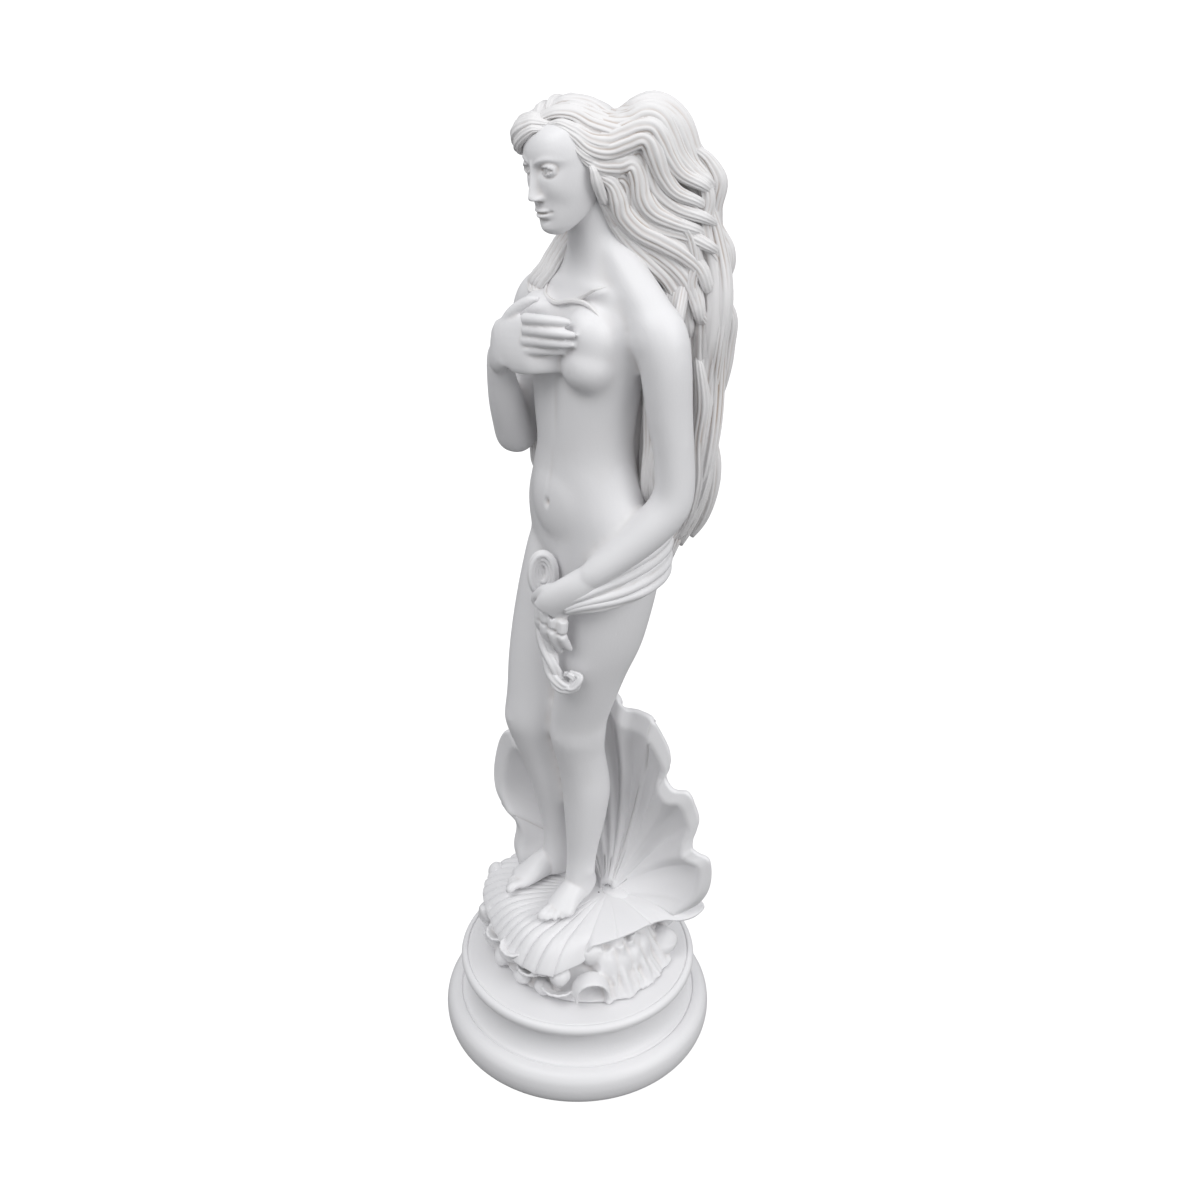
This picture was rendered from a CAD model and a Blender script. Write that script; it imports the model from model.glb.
import math

import bmesh
import bpy
import numpy as np
from mathutils import Matrix, Vector, noise


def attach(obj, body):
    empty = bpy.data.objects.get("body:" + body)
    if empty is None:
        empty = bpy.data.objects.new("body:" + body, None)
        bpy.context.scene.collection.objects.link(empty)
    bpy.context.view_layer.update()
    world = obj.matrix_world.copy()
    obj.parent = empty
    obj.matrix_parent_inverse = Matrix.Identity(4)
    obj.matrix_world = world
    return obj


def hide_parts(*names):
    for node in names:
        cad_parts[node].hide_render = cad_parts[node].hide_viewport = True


# The statuette in metres. The figure's tables are in units, 250ths of its height,
# measured from the plinth's axis and from the soles, the chest facing -Y.
FIGURE_HEIGHT = 0.250
UNIT = FIGURE_HEIGHT / 250
PLINTH_HEIGHT = 0.0285
SEAT_GAP = 0.0003
ROCK_HEIGHT = 0.0160
HINGE_LIFT = 0.0055
SOLE = PLINTH_HEIGHT + SEAT_GAP + ROCK_HEIGHT + HINGE_LIFT
SOLE_UP = Vector((0, 0, SOLE))

# Fineness: voxels of the joined skins, rounds of softening, and triangles kept of a piece
LIMB_VOXEL = 0.0009
BODY_VOXEL = 0.00042
ROCK_VOXEL = 0.00050
LIMB_SOFTENING = 18
BODY_SOFTENING = 4
ROCK_SOFTENING = 1
BODY_TRIANGLES = 180000
ROCK_TRIANGLES = 110000
LUMP_SUBDIVISIONS = 4
PLINTH_STEPS = 160

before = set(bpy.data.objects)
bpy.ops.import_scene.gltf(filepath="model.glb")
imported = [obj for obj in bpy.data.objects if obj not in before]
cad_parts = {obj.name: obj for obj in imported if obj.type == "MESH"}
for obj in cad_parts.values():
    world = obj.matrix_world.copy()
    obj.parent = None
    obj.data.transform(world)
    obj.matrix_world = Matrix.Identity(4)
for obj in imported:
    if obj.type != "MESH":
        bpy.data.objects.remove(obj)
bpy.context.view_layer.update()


def smooth_rows(rows, steps):
    """Rows of numbers, with steps rows between each two, on a Catmull-Rom curve."""
    rows = np.array([tuple(row) for row in rows], float)
    padded = np.vstack([2 * rows[0] - rows[1], rows, 2 * rows[-1] - rows[-2]])
    t = (np.arange(steps) / steps)[:, None]
    out = []
    for i in range(1, len(padded) - 2):
        before, start, end, after = padded[i - 1 : i + 3]
        out.append(
            0.5
            * (
                2 * start
                + (end - before) * t
                + (2 * before - 5 * start + 4 * end - after) * t**2
                + (3 * start - before - 3 * end + after) * t**3
            )
        )
    return np.vstack(out + [rows[-1:]])


def merge_into(bm, made, name):
    """The parts made apart join the rest."""
    mesh = bpy.data.meshes.new(name)
    made.to_mesh(mesh)
    made.free()
    bm.from_mesh(mesh)
    bpy.data.meshes.remove(mesh)


def add_tube(bm, rings):
    """A closed skin through rings of points in metres, rows by sides, each end drawn to a point."""
    first = np.repeat(rings[:1].mean(1, keepdims=True), rings.shape[1], 1)
    last = np.repeat(rings[-1:].mean(1, keepdims=True), rings.shape[1], 1)
    rings = np.concatenate([first, rings, last])
    rows, sides = rings.shape[:2]
    made = bmesh.new()
    bmesh.ops.create_grid(made, x_segments=sides, y_segments=rows - 1, size=1)
    for vert in made.verts:
        column = round((vert.co.x + 1) / 2 * sides) % sides
        row = round((vert.co.y + 1) / 2 * (rows - 1))
        vert.co = rings[row, column]
    bmesh.ops.remove_doubles(made, verts=made.verts, dist=2e-7)
    bmesh.ops.recalc_face_normals(made, faces=made.faces)
    merge_into(bm, made, "tube")


def risen(bm):
    """Parts made from the soles up, moved to their place over the plinth."""
    bmesh.ops.translate(bm, verts=bm.verts, vec=SOLE_UP)
    return bm


def unit(vectors):
    return vectors / np.linalg.norm(vectors, axis=-1, keepdims=True)


def swept(path, across, out, x, y):
    """Rings along a path: its points, its side and outer directions, and each section's x and y."""
    return (path[:, None] + across[:, None] * x[..., None] + out[:, None] * y[..., None]) * UNIT


def add_loft(bm, rows, sides=32, steps=4, squareness=2.0):
    """Level sections stacked upwards: height, x, y, half width, front, back, yaw, roll in degrees."""
    rows = smooth_rows(rows, steps)
    turn = np.arange(sides) / sides * 2 * math.pi
    cosine, sine = np.cos(turn), np.sin(turn)
    reach = (abs(cosine) ** squareness + abs(sine) ** squareness) ** (-1 / squareness)
    rings = []
    for height, x, y, half_width, front, back, yaw, roll in rows:
        yaw, roll = math.radians(yaw), math.radians(roll)
        wide = half_width * reach * cosine
        deep = np.where(sine > 0, back, front) * reach * sine
        level = np.stack([wide * math.cos(roll), deep, wide * math.sin(roll)], 1)
        across = level[:, 0] * math.cos(yaw) - level[:, 1] * math.sin(yaw)
        along = level[:, 0] * math.sin(yaw) + level[:, 1] * math.cos(yaw)
        rings.append(np.stack([x + across, y + along, height + level[:, 2]], 1) * UNIT)
    add_tube(bm, np.array(rings))


def add_limb(bm, rows, side=(1, 0, 0), sides=20, steps=4):
    """Sections square to a path: x, y, z, half width along side, and half thickness."""
    rows = smooth_rows(rows, steps)
    path = rows[:, :3]
    along = unit(np.gradient(path, axis=0))
    across = unit(np.array(side) - along * (along @ np.array(side))[:, None])
    turn = np.arange(sides) / sides * 2 * math.pi
    x = rows[:, 3:4] * np.cos(turn)
    y = rows[:, 4:5] * np.sin(turn)
    add_tube(bm, swept(path, across, np.cross(along, across), x, y))


def add_ball(bm, centre, radii, turn=(0, 0, 0), sides=24):
    """An ellipsoid, turned by degrees about X, Y and Z."""
    place = Matrix.Translation(Vector(centre) * UNIT)
    for degrees, axis in zip(turn, "XYZ"):
        place = place @ Matrix.Rotation(math.radians(degrees), 4, axis)
    place = place @ Matrix.Diagonal((*(Vector(radii) * UNIT), 1))
    bmesh.ops.create_uvsphere(bm, u_segments=sides, v_segments=sides, radius=1, matrix=place)


def add_torso(bm):
    add_loft(
        bm,
        [
            # height, x, y, half width, front, back, yaw, roll
            (112, 0.5, 4.5, 14.0, 8.0, 11.0, -10, 4),
            (118, 0.3, 4.3, 19.8, 11.0, 14.0, -10, 4),
            (125, 0.5, 4.2, 22.4, 12.0, 15.5, -9, 5),
            (132, 0.2, 4.0, 23.4, 12.6, 15.0, -8, 5),
            (140, 0.0, 3.6, 21.8, 13.0, 13.0, -7, 4),
            (149, 0.2, 3.2, 18.2, 12.4, 11.2, -5, 2),
            (157, 0.2, 2.8, 15.9, 11.2, 10.8, -3, 0),
            (165, -0.2, 2.8, 16.2, 11.2, 11.4, -1, -1),
            (174, -0.2, 3.0, 17.2, 11.4, 12.2, 0, -2),
            (183, 0.0, 3.4, 18.6, 11.4, 12.8, 0, -2),
            (191, 0.6, 3.8, 19.8, 10.6, 12.8, 0, 0),
            (197, 1.6, 4.2, 18.6, 9.4, 12.2, 0, -2),
            (202, 2.0, 4.8, 15.6, 8.2, 10.8, 0, -2),
            (206, 1.5, 5.6, 12.6, 7.6, 9.0, 0, 2),
            (210, 1.4, 5.8, 9.4, 7.2, 7.8, -4, 0),
            (216, 1.0, 5.2, 7.5, 7.2, 7.4, -8, 0),
            (224, 0.1, 3.4, 7.2, 7.2, 7.6, -8, 0),
            (230, -0.8, 2.2, 7.2, 7.0, 7.8, -6, 0),
        ],
    )
    for x, turn in ((-9.3, -14), (9.0, 14)):
        add_ball(bm, (x, -4.2, 184.6), (7.6, 7.4, 7.6), (-12, 0, turn))
        add_ball(bm, (x * 0.97, -2.6, 190.0), (8.0, 7.4, 10.0), (20, 0, 0))
    add_ball(bm, (9.8, 10.0, 121.5), (10.2, 10.0, 10.5))
    add_ball(bm, (-9.0, 11.5, 118.5), (10.2, 9.6, 10.5))
    add_ball(bm, (0.4, -2.6, 142.0), (13.5, 8.2, 15.0))
    for rows in (
        # collar bones, then the slopes from neck to shoulder: x, y, z, half width, half thickness
        [(2, -2.5, 203, 1.1, 1.1), (10, -1.5, 203.2, 1.2, 1.2), (18, 3.5, 200.5, 1.6, 1.6)],
        [(-1, -2.5, 203, 1.1, 1.1), (-9, -1.2, 202, 1.2, 1.2), (-17, 3.5, 199, 1.6, 1.6)],
        [(5, 6, 214, 4.6, 4.6), (12, 6, 206.6, 5.6, 5.4), (20, 6, 198.6, 6.4, 6), (24, 6, 193, 5, 5)],
        [
            (-4, 6, 212, 4.4, 4.4), (-10.6, 6, 203.6, 5.4, 5.2), (-16.6, 5.6, 195.6, 6.4, 6),
            (-20, 5.4, 191, 5, 5),
        ],
    ):
        add_limb(bm, rows)


# Level sections: height, x, y, half width, front, back, yaw and roll
LEFT_LEG = [
    (134, 10.5, 4.2, 10, 9, 10, -8, 0), (127, 10.8, 4.2, 12.4, 11, 13, -8, 0),
    (118, 10.4, 3.4, 12.8, 12.4, 13.4, -8, 0), (108, 9.8, 2.5, 12, 12.6, 12.6, -9, 0),
    (98, 8.4, 1.6, 11.2, 12.2, 11.8, -10, 0), (88, 6.4, 0.5, 9.8, 11.1, 9.9, -11, 0),
    (78, 4.3, -0.3, 8.7, 9.9, 8.7, -12, 0), (70, 2.4, -0.8, 8.1, 9, 8, -13, 0),
    (64, 1.8, -1, 8, 8.9, 8.1, -14, 0), (58, 1.3, -0.5, 7.4, 7.8, 7.8, -15, 0),
    (50, 1, 0.6, 7.2, 6.8, 8.4, -15, 0), (42, 1.2, 1.2, 7.2, 6.3, 8.8, -15, 0),
    (34, 1.4, 1.2, 6.6, 6, 7.8, -15, 0), (26, 1.6, 0.8, 5.5, 5.4, 6.4, -15, 0),
    (18, 1.5, 0.4, 4.5, 4.8, 5.3, -8, 0), (12, 1.4, 0, 4.3, 4.8, 5, 0, 0),
    (7, 1.3, -0.2, 4.5, 5.4, 5.4, 8, 0), (1, 1.3, -0.4, 4, 6, 5.6, 12, 0),
]
RIGHT_LEG = [
    (132, -9, 6, 9.5, 9, 10, -10, 0), (124, -9.6, 5.6, 12, 11.5, 13, -10, 0),
    (114, -10.1, 4.2, 12.5, 12.6, 13.2, -12, 0), (104, -11.5, 2.5, 11.7, 12.4, 12.3, -14, 0),
    (94, -12.4, 0.5, 11, 11.8, 11.5, -17, 0), (84, -13, -1.7, 10, 10.8, 10.5, -20, 0),
    (74, -13.1, -3.9, 9, 9.6, 9.4, -24, 0), (65, -13.7, -5.4, 8.2, 9, 8.3, -27, 0),
    (58, -13.9, -4.4, 7.6, 8, 7.8, -28, 0), (50, -13.8, -2.6, 7.1, 6.8, 8.2, -28, 0),
    (42, -13.6, -0.8, 7, 6.2, 8.4, -27, 0), (34, -13.2, 0.8, 6.4, 5.8, 7.6, -26, 0),
    (26, -12.8, 1.9, 5.3, 5.2, 6.2, -24, 0), (18, -12.5, 2.5, 4.4, 4.7, 5.2, -22, 0),
    (12, -12.3, 2.6, 4.2, 4.7, 4.9, -20, 0), (7, -12.2, 2.4, 4.4, 5.3, 5.2, -20, 0),
    (1, -12.2, 1.9, 3.9, 5.8, 5.4, -20, 0),
]


def add_foot(bm, heel, yaw, length, inner):
    """A foot along yaw from the heel, with five toes, the great toe on the inner side."""
    turn = math.radians(yaw)
    ahead = Vector((math.sin(turn), -math.cos(turn), 0))
    aside = Vector((math.cos(turn), math.sin(turn), 0)) * inner
    start = Vector(heel)

    def at(along, across, height):
        return tuple(start + ahead * along + aside * across + Vector((0, 0, height)))

    rows = [
        # share of the length, across, height, half width, half thickness
        (0.02, 0.0, 3.2, 2.4, 2.8),
        (0.10, 0.0, 3.9, 3.5, 4.0),
        (0.24, 0.0, 4.9, 3.9, 5.2),
        (0.40, 0.2, 4.4, 4.1, 4.6),
        (0.56, 0.5, 3.3, 4.5, 3.4),
        (0.68, 0.5, 2.3, 4.7, 2.5),
        (0.75, 0.4, 1.8, 4.5, 2.0),
        (0.79, 0.3, 1.5, 4.0, 1.4),
    ]
    add_limb(bm, [(*at(s * length, a, h), w, t) for s, a, h, w, t in rows], side=aside)
    for i in range(5):
        across = 3.7 - 2.1 * i + 0.08 * i * i
        reach = length * (1.0 - 0.022 * i - 0.012 * i * i)
        thick = 1.4 if i == 0 else 0.98 - 0.05 * i
        add_limb(
            bm,
            [
                (*at(length * 0.68 - 0.7 * i, across * 0.82, 2.0), thick, thick),
                (*at(reach - 2.6, across * 0.96, 2.3), thick, thick),
                (*at(reach - 1.0, across, 1.5), thick * 1.08, thick * 0.95),
                (*at(reach, across, 0.9), thick * 0.6, thick * 0.5),
            ],
            side=aside,
            sides=10,
        )


def add_legs(bm):
    add_loft(bm, LEFT_LEG[::-1])
    add_loft(bm, RIGHT_LEG[::-1])
    add_ball(bm, (1.3, -7.0, 65.0), (3.8, 3.0, 4.4))
    add_ball(bm, (-15.9, -11.3, 66.0), (3.8, 3.0, 4.4), (0, 0, -25))
    add_ball(bm, (5.2, 0.4, 11.5), (1.6, 2.0, 2.2))
    add_ball(bm, (-16.2, 2.8, 11.0), (1.7, 2.0, 2.2))


def add_feet(bm):
    add_foot(bm, (-0.4, 6.0, 0.0), 15, 24.0, -1)
    add_foot(bm, (-12.2, 6.4, 0.0), -15, 23.5, 1)


def add_arms(bm):
    left = [
        # x, y, z, half width, half thickness
        (18.6, 5.5, 198.6, 5.8, 5.8),
        (23.6, 6.0, 194.8, 7.2, 6.8),
        (25.9, 6.6, 187.0, 6.9, 6.8),
        (26.8, 7.6, 174.0, 6.2, 6.4),
        (27.9, 8.8, 161.0, 5.5, 5.9),
        (28.4, 9.0, 152.0, 5.5, 5.8),
        (28.0, 7.4, 146.5, 5.8, 5.7),
        (25.8, 3.2, 141.0, 5.7, 5.5),
        (22.6, -2.0, 135.5, 5.2, 4.8),
        (18.8, -7.6, 130.0, 4.4, 3.9),
        (16.0, -10.8, 126.6, 3.9, 3.1),
        (14.4, -12.4, 124.6, 2.6, 1.9),
    ]
    right = [
        (-15.6, 5.0, 196.6, 6.0, 6.0),
        (-20.0, 5.4, 193.0, 7.0, 6.8),
        (-22.2, 5.0, 188.0, 6.7, 6.7),
        (-23.2, 4.0, 176.0, 6.0, 6.2),
        (-24.0, 2.6, 163.5, 5.4, 5.8),
        (-24.8, 1.0, 154.6, 5.6, 5.7),
        (-24.2, -1.6, 153.0, 5.7, 5.6),
        (-22.6, -4.4, 159.0, 5.6, 5.4),
        (-20.8, -7.6, 166.5, 5.1, 4.9),
        (-18.6, -11.0, 175.8, 4.2, 3.9),
        (-17.0, -13.0, 181.8, 3.9, 3.1),
        (-15.6, -14.4, 184.8, 2.6, 1.9),
    ]
    add_limb(bm, left, side=(0.8, 0.6, 0))
    add_limb(bm, right, side=(0.8, -0.6, 0))
    add_ball(bm, (23.2, 6.0, 193.2), (7.0, 7.2, 8.8), (0, -12, 0))
    add_ball(bm, (-20.0, 5.4, 191.4), (7.0, 7.2, 8.8), (0, 8, 0))


def add_fingers(bm, knuckles, tips, bow, thick):
    """Four fingers from knuckle to tip, each bowed towards bow in the middle."""
    for knuckle, tip in zip(knuckles, tips):
        start, end = Vector(knuckle), Vector(tip)
        middle = start.lerp(end, 0.45) + Vector(bow)
        late = start.lerp(end, 0.8) + Vector(bow) * 0.6
        add_limb(
            bm,
            [
                (*start, thick * 1.1, thick * 1.1),
                (*middle, thick, thick),
                (*late, thick * 0.9, thick * 0.9),
                (*end, thick * 0.5, thick * 0.5),
            ],
            sides=10,
            side=(0, 0, 1),
        )


def add_right_hand(bm):
    """Laid flat across the breast, the back of the hand to the front."""
    add_limb(
        bm,
        [
            (-17.2, -12.4, 179.4, 3.4, 2.9),
            (-14.2, -14.4, 182.6, 4.6, 2.9),
            (-11.0, -15.6, 187.0, 6.8, 2.5),
            (-5.8, -15.0, 188.2, 7.6, 2.3),
            (-1.8, -13.2, 188.6, 7.4, 2.2),
            (3.0, -7.2, 187.6, 6.2, 2.0),
        ],
        side=(-0.3, 0.1, 1),
    )
    rows = (4.4, 1.5, -1.4, -4.1)
    reach = (9.4, 11.2, 10.2, 7.2)
    add_fingers(
        bm,
        [(-3.4, -15.2, 191.6 + z) for z in rows],
        [(x, -10.8 - 0.35 * z * (z < 0), 193.0 + 1.0 * z) for x, z in zip(reach, rows)],
        (0, -1.4, 0.5),
        1.5,
    )
    add_limb(
        bm,
        [
            (-13.6, -14.6, 188.4, 1.9, 1.9),
            (-9.8, -14.2, 195.2, 1.7, 1.7),
            (-5.4, -12.4, 199.4, 1.4, 1.4),
            (-2.4, -11.0, 200.6, 0.7, 0.7),
        ],
        sides=10,
    )


def add_left_hand(bm):
    """Held low before the body, the back of the hand outwards and the fingers hanging."""
    add_limb(
        bm,
        [
            (17.2, -9.6, 128.2, 3.4, 2.7),
            (13.6, -12.8, 123.6, 4.4, 2.9),
            (9.8, -15.4, 119.0, 5.3, 2.5),
            (7.0, -16.4, 114.8, 5.3, 2.2),
        ],
        side=(0.7, 0.5, 0.4),
    )
    add_fingers(
        bm,
        [(2.8, -16.6, 116.0), (5.4, -16.8, 114.2), (8.2, -16.2, 113.0), (10.8, -15.0, 112.8)],
        [(2.4, -13.8, 103.8), (5.2, -13.4, 101.2), (8.2, -13.0, 100.6), (10.8, -12.2, 102.2)],
        (0, -1.6, 0),
        1.45,
    )
    add_limb(
        bm,
        [
            (10.8, -15.0, 123.2, 1.8, 1.8),
            (6.0, -17.2, 121.2, 1.7, 1.7),
            (1.6, -17.0, 117.0, 1.4, 1.4),
            (0.4, -16.2, 114.0, 0.7, 0.7),
        ],
        sides=10,
    )


HEAD_CENTRE = (1.1, 1.8, 219.9)
HEAD_YAW = -5
HEAD_LEAN = -7
HEAD_NOD = 12
HEAD_SCALE = 0.98


def head_place():
    """The head's own frame: its origin under the chin on the ear line, the face to -Y."""
    return (
        Matrix.Translation(Vector(HEAD_CENTRE) * UNIT)
        @ Matrix.Rotation(math.radians(HEAD_YAW), 4, "Z")
        @ Matrix.Rotation(math.radians(HEAD_LEAN), 4, "Y")
        @ Matrix.Rotation(math.radians(HEAD_NOD), 4, "X")
        @ Matrix.Scale(HEAD_SCALE, 4)
    )


def on_head(x, y, z):
    """A point of the head's own frame, in the figure's units."""
    return head_place() @ (Vector((x, y, z)) * UNIT) / UNIT


def hill(x, z, x0, z0, wide, high):
    return np.exp(-(((x - x0) / wide) ** 2) - ((z - z0) / high) ** 2)


def face_relief(x, z, plain):
    """How far forward the face stands at x and z, over the plain head, all in head units."""
    side = np.abs(x)
    out = plain.copy()
    # Brow, sockets, cheeks, muzzle and chin
    out -= 1.5 * hill(side, z, 4.0, 16.7, 2.7, 1.6) + 0.45 * hill(side, z, 2.0, 16.9, 0.9, 1.1)
    brow = 18.2 + 1.2 * np.sin(np.pi * np.clip((side - 1.0) / 7.0, 0, 1))
    ridge = np.clip((side - 0.6) / 1.2, 0, 1) * np.exp(-((side / 7.5) ** 6))
    out += 0.42 * np.exp(-(((z - brow) / 0.75) ** 2)) * ridge
    out += 0.55 * hill(side, z, 5.3, 12.0, 2.6, 2.9)
    out -= 0.35 * hill(side, z, 5.6, 7.4, 2.0, 2.6)
    out += 0.75 * hill(x, z, 0, 6.3, 3.3, 2.7)
    out += 0.8 * hill(x, z, 0, 2.0, 2.5, 1.7)
    out -= 0.5 * hill(x, z, 0, 4.15, 2.1, 0.65)
    # Nose, straight from the brow
    heights = [8.9, 9.4, 10.1, 10.9, 12.5, 15.0, 17.6, 19.6]
    stand = np.interp(z, heights, [0, 1.1, 2.75, 3.1, 2.45, 1.5, 0.75, 0])
    broad = np.interp(z, [9.4, 10.6, 12.5, 17.6], [1.25, 1.2, 0.95, 0.85])
    out += stand * np.exp(-((side / broad) ** 2.4))
    out += 1.15 * hill(side, z, 1.45, 10.0, 0.8, 0.75)
    out -= 0.9 * hill(side, z, 0.85, 9.1, 0.45, 0.3)
    out -= 0.2 * hill(x, z, 0, 8.3, 0.45, 0.7)
    # Lips
    span = np.clip(1 - (side / 3.0) ** 2, 0, 1) ** 0.7
    upper = 6.9 - 0.35 * (side / 3.0) ** 2
    out += 0.7 * span * np.exp(-(((z - upper) / 0.5) ** 2))
    lower_span = np.clip(1 - (side / 2.6) ** 2, 0, 1) ** 0.8
    out += 0.85 * lower_span * np.exp(-(((z - 5.35) / 0.62) ** 2))
    line = 6.15 + 0.10 * (side / 3.0) ** 2
    out -= 0.75 * np.clip(1 - (side / 3.15) ** 4, 0, 1) * np.exp(-(((z - line) / 0.2) ** 2))
    out -= 0.4 * hill(side, z, 3.1, 6.15, 0.5, 0.45)
    # Eyes: a ball in each socket, with a lid over all but the opening
    across, up = side - 3.95, z - 16.65
    reach = across**2 + up**2
    gape = np.clip(1 - (across / 2.1) ** 2, 0, 1)
    open_eye = (up < 0.95 * gape) & (up > -0.7 * gape) & (gape > 0)
    looking = across**2 + (up - 0.1) ** 2
    pupil = 0.25 * (looking < 0.3**2) + 0.14 * np.exp(-(((np.sqrt(looking) - 0.8) / 0.12) ** 2))
    ball = 9.0 + np.sqrt(np.clip(2.05**2 - reach, 0, None)) - pupil
    lid = 9.0 + np.sqrt(np.clip(2.55**2 - reach, 0, None))
    eye = np.where(open_eye, ball, lid)
    return np.where(reach < 2.5**2, np.maximum(out - 0.55 * open_eye, eye), out)


def head_bmesh():
    """The head: level sections from the chin to the crown, then the face worked into the front."""
    made = bmesh.new()
    rows = [
        # height over the chin, x, y of the widest place, half width, front, back, yaw, roll
        (-0.5, 0, -8.6, 2.0, 2.0, 3.1, 0, 0),
        (0.3, 0, -7.8, 3.4, 3.9, 4.3, 0, 0),
        (1.5, 0, -6.6, 4.7, 5.7, 5.6, 0, 0),
        (3.0, 0, -5.2, 5.8, 7.2, 6.7, 0, 0),
        (5.0, 0, -3.8, 6.9, 8.5, 7.8, 0, 0),
        (7.5, 0, -2.6, 7.9, 9.7, 9.6, 0, 0),
        (10.0, 0, -1.8, 8.6, 10.4, 11.3, 0, 0),
        (13.0, 0, -1.0, 9.1, 11.1, 12.6, 0, 0),
        (16.0, 0, -0.4, 9.4, 11.6, 13.2, 0, 0),
        (19.0, 0, 0.0, 9.5, 11.9, 13.3, 0, 0),
        (22.0, 0, 0.3, 9.1, 11.4, 12.7, 0, 0),
        (24.5, 0, 0.6, 8.0, 10.0, 11.2, 0, 0),
        (26.2, 0, 0.9, 5.8, 7.4, 8.2, 0, 0),
        (27.2, 0, 1.1, 3.0, 3.9, 4.1, 0, 0),
    ]
    add_loft(made, rows, sides=280, steps=9, squareness=2.25)
    verts = [vert for vert in made.verts if vert.co.y < -2 * UNIT]
    x, y, z = np.array([vert.co for vert in verts]).T / UNIT
    facing = np.clip((-y - 2.0) / 4.0, 0, 1)
    shift = (face_relief(x, z, -y) + y) * facing
    for vert, step in zip(verts, shift):
        vert.co.y -= step * UNIT
    place = Matrix.Translation(SOLE_UP) @ head_place()
    bmesh.ops.transform(made, matrix=place, verts=made.verts)
    return made


HAIR_MIDDLE = np.array((-2.0, 0.6, 233.5))
NEAR_OUT = np.array((0.72, -0.66, 0.22))
FAR_OUT = np.array((-0.95, 0.20, 0.20))


def hair_out(path, leaving):
    """Outward from the head on the head, and towards leaving on locks that have left it."""
    away = path - HAIR_MIDDLE
    apart = np.linalg.norm(away, axis=1, keepdims=True)
    share = np.clip(1 - (apart - 14) / 8, 0, 1)
    return unit(away / apart * share + leaving * (1 - share))


def add_lock(
    bm, points, wide, deep, leaving, ridges=9, sides=44, steps=6, root=0.5, tip=0.15, turn=0.0
):
    """A lock of hair with fine parallel grooves, swept along points and narrowing to its tip."""
    path = smooth_rows(points, steps)
    share = np.linspace(0, 1, len(path))[:, None]
    along = unit(np.gradient(path, axis=0))
    across = unit(np.cross(along, hair_out(path, np.array(leaving))))
    out = np.cross(across, along)
    path = path - out * (1.4 * np.maximum(0, 1 - 6 * share) + 1.0 * np.maximum(0, 6 * share - 5))
    taper = np.minimum(1, root + 3.2 * (1 - root) * share)
    taper = taper * (tip + (1 - tip) * np.minimum(1, 2.8 * (1 - share)) ** 0.75)
    angle = np.arange(sides) / sides * 2 * math.pi
    rib = 1 + 0.20 * (abs(np.sin(ridges * (angle + turn + 0.35 * share) / 2)) - 0.55)
    x = wide * taper * rib * np.cos(angle)
    y = deep * taper * rib * np.sin(angle)
    add_tube(bm, swept(path, across, out, x, y))


def between(guides, share):
    """A path between guide paths, share from 0 on the first to 1 on the last."""
    spot = share * (len(guides) - 1) * 8
    out = []
    for column in zip(*guides):
        fine = smooth_rows(column, 8)
        low = min(int(spot), len(fine) - 2)
        out.append(fine[low] + (fine[low + 1] - fine[low]) * (spot - low))
    return np.array(out)


def add_sheet(bm, guides, count, wide, deep, leaving, wave, turns, seed, sink=0.0, **more):
    """Locks spread over guide paths, waving together, each a little different from the next.

    Locks that leave the head face leaving, or, without it, away from the neck's axis."""
    for i in range(count):
        share = (i + 0.5) / count
        wobble = math.sin(12.9 * (i + 1) + seed)
        path = smooth_rows(between(guides, min(max(share + 0.2 * wobble / count, 0), 1)), 3)
        own = (path[-1, 0] - 2, path[-1, 1] - 2, 0)
        leave = unit(np.array(own if leaving is None else leaving, float))
        out = hair_out(path, leave)
        across = unit(np.cross(unit(np.gradient(path, axis=0)), out))
        run = np.linspace(0, 1, len(path))[:, None]
        phase = seed + 0.5 * i + 0.8 * wobble + 2 * math.pi * turns * run
        path = path + across * wave * np.sin(phase) * np.minimum(1, 3 * run)
        path = path + out * (0.45 * wave * np.sin(phase + 1.3) * np.minimum(1, 3 * run) - sink)
        size = 1 + 0.20 * math.sin(7.7 * i + seed)
        add_lock(bm, path, wide * size, deep * (2 - size), leave, steps=3, turn=0.3 * i, **more)


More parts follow.
